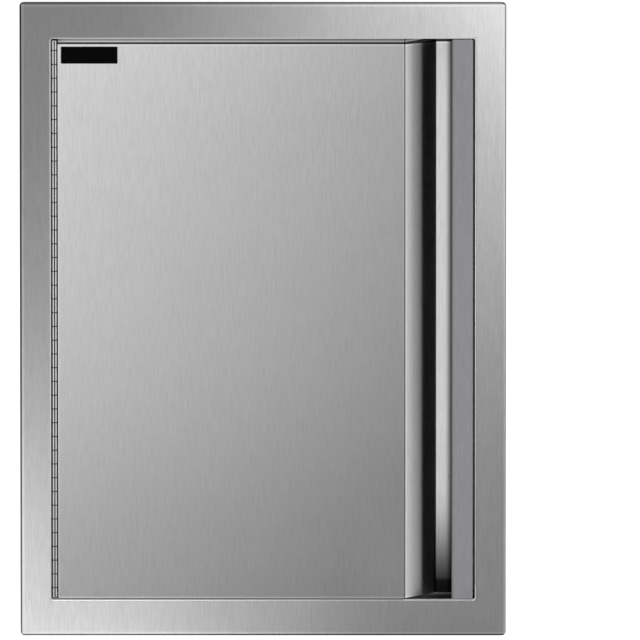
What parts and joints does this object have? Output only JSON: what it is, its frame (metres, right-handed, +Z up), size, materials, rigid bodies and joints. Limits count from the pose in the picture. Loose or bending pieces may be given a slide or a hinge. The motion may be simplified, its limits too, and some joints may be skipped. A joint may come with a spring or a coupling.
{
  "type": "island access door",
  "caption": "Built-in steel access door for an outdoor kitchen island: flanged frame, hinged door and a full-height recessed finger channel.",
  "frame": {"origin": "centre of the opening, in the plane of the wall face that the frame's rim rests on", "axes": "+X to the right seen from the front, +Y back into the island, +Z up; the front faces -Y"},
  "size_m": [0.442, 0.049, 0.584],
  "materials": {
    "frame_steel": "brushed upright",
    "door_steel": "brushed upright",
    "stile_steel": "brushed upright",
    "plain_steel": "mill",
    "hinge_steel": "satin",
    "pin_steel": "satin",
    "rivet_steel": "satin",
    "screw_steel": "satin",
    "zinc_steel": "zinc coated",
    "catch_plastic": "matte black",
    "magnet_ferrite": "matte dark grey",
    "badge_black": "gloss black"
  },
  "bodies": {
    "frame": {"face_frame": "frame_steel", "rear_angle_left": "plain_steel", "rear_angle_right": "plain_steel", "rear_stop_top": "plain_steel", "rear_stop_bottom": "plain_steel", "hinge_frame_leaf": "hinge_steel", "hinge_frame_rivets": "rivet_steel", "hinge_pin": "pin_steel", "upper_catch_housing": "catch_plastic", "lower_catch_housing": "catch_plastic", "upper_catch_magnet": "magnet_ferrite", "lower_catch_magnet": "magnet_ferrite", "upper_catch_poles": "zinc_steel", "lower_catch_poles": "zinc_steel", "catch_screws": "screw_steel"},
    "door": {"door_skin": "door_steel", "door_liner": "plain_steel", "grip_stile": "stile_steel", "hinge_door_leaf": "hinge_steel", "hinge_door_rivets": "rivet_steel", "liner_rivets": "rivet_steel", "stile_rivets": "rivet_steel", "upper_strike_plate": "zinc_steel", "lower_strike_plate": "zinc_steel", "strike_plate_rivets": "rivet_steel", "badge_plate": "badge_black"}
  },
  "joints": [
    {"name": "door_swing", "type": "hinge", "parent": "frame", "child": "door", "pos_m": [-0.18975, -0.0015, 0], "axis": [0, 0, -1], "range_deg": [0, 110]}
  ]
}
